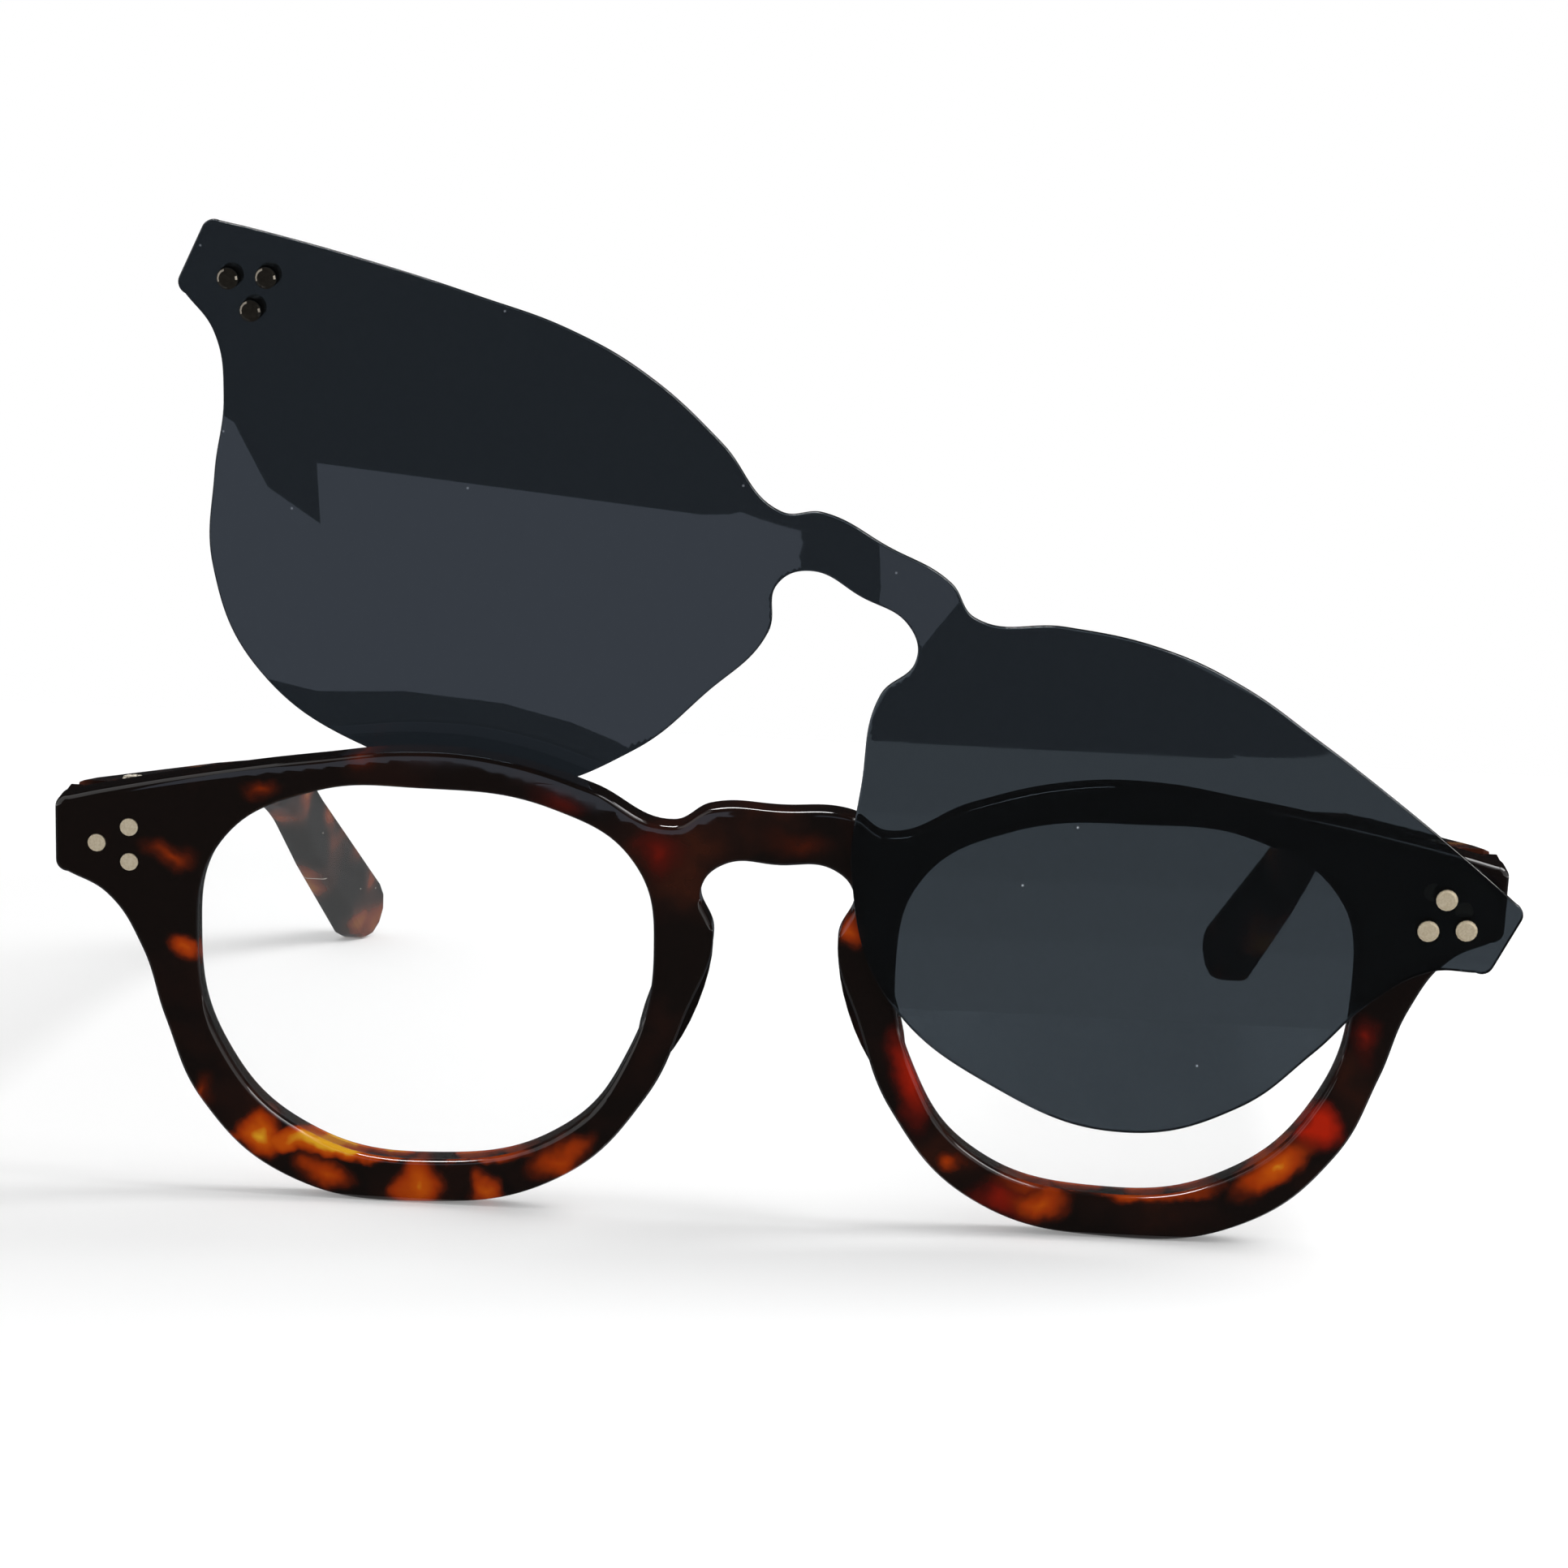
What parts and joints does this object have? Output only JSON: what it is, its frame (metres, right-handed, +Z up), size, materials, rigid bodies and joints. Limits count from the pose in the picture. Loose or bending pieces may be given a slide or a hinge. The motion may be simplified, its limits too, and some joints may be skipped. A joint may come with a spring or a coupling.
{
  "type": "spectacles with magnetic clip-on sun lens",
  "caption": "Tortoiseshell acetate spectacles with keyhole bridge, folding temples and a tinted one-piece magnetic clip-on turned up about its pins.",
  "frame": {"origin": "middle of the bottom of the whole set's box, on the surface that the rims and temple tips stand on", "axes": "+X towards the wearer's left, +Y back along the temples, +Z up; the front faces -Y"},
  "size_m": [0.143, 0.1488, 0.0966],
  "materials": {
    "front_acetate": "polished tortoiseshell cellulose acetate",
    "temple_acetate": "polished tortoiseshell cellulose acetate",
    "clear_lens": "clear moulded demonstration lens",
    "tinted_sheet": "dark grey polarised sheet, polished",
    "hinge_steel": "plain nickel silver hinge",
    "rivet_steel": "polished steel rivet",
    "core_wire": "flat nickel silver wire",
    "clip_metal": "turned and polished pin",
    "magnet": "nickel plated disc magnet"
  },
  "bodies": {
    "frame": {"front_frame": "front_acetate", "demo_lens_right": "clear_lens", "demo_lens_left": "clear_lens", "nose_pad_right": "front_acetate", "nose_pad_left": "front_acetate", "front_hinge_leaf_right": "hinge_steel", "front_hinge_leaf_left": "hinge_steel", "hinge_screw_right": "hinge_steel", "hinge_screw_left": "hinge_steel", "front_rivet_right_outer": "rivet_steel", "front_rivet_right_upper": "rivet_steel", "front_rivet_right_lower": "rivet_steel", "front_rivet_left_outer": "rivet_steel", "front_rivet_left_upper": "rivet_steel", "front_rivet_left_lower": "rivet_steel"},
    "right_arm": {"temple_right": "temple_acetate", "temple_core_right": "core_wire", "temple_hinge_leaf_right": "hinge_steel"},
    "left_arm": {"temple_left": "temple_acetate", "temple_core_left": "core_wire", "temple_hinge_leaf_left": "hinge_steel"},
    "clip_on": {"clip_lens": "tinted_sheet", "clip_pin_right_outer": "clip_metal", "clip_pin_right_upper": "clip_metal", "clip_pin_right_lower": "clip_metal", "clip_pin_left_outer": "clip_metal", "clip_pin_left_upper": "clip_metal", "clip_pin_left_lower": "clip_metal", "clip_magnet_right_outer": "magnet", "clip_magnet_right_upper": "magnet", "clip_magnet_right_lower": "magnet", "clip_magnet_left_outer": "magnet", "clip_magnet_left_upper": "magnet", "clip_magnet_left_lower": "magnet"}
  },
  "joints": [
    {"name": "right_temple_fold", "type": "hinge", "parent": "frame", "child": "right_arm", "pos_m": [-0.06496, -0.06131, 0.03718], "axis": [0, 0.1305, -0.9914], "range_deg": [0, 85]},
    {"name": "left_temple_fold", "type": "hinge", "parent": "frame", "child": "left_arm", "pos_m": [0.06404, -0.06131, 0.03718], "axis": [0, -0.1305, 0.9914], "range_deg": [0, 78]},
    {"name": "clip_swing", "type": "hinge", "parent": "frame", "child": "clip_on", "pos_m": [0.06421, -0.07099, 0.0353], "axis": [0, 0.9914, 0.1305], "range_deg": [0, 60]}
  ]
}
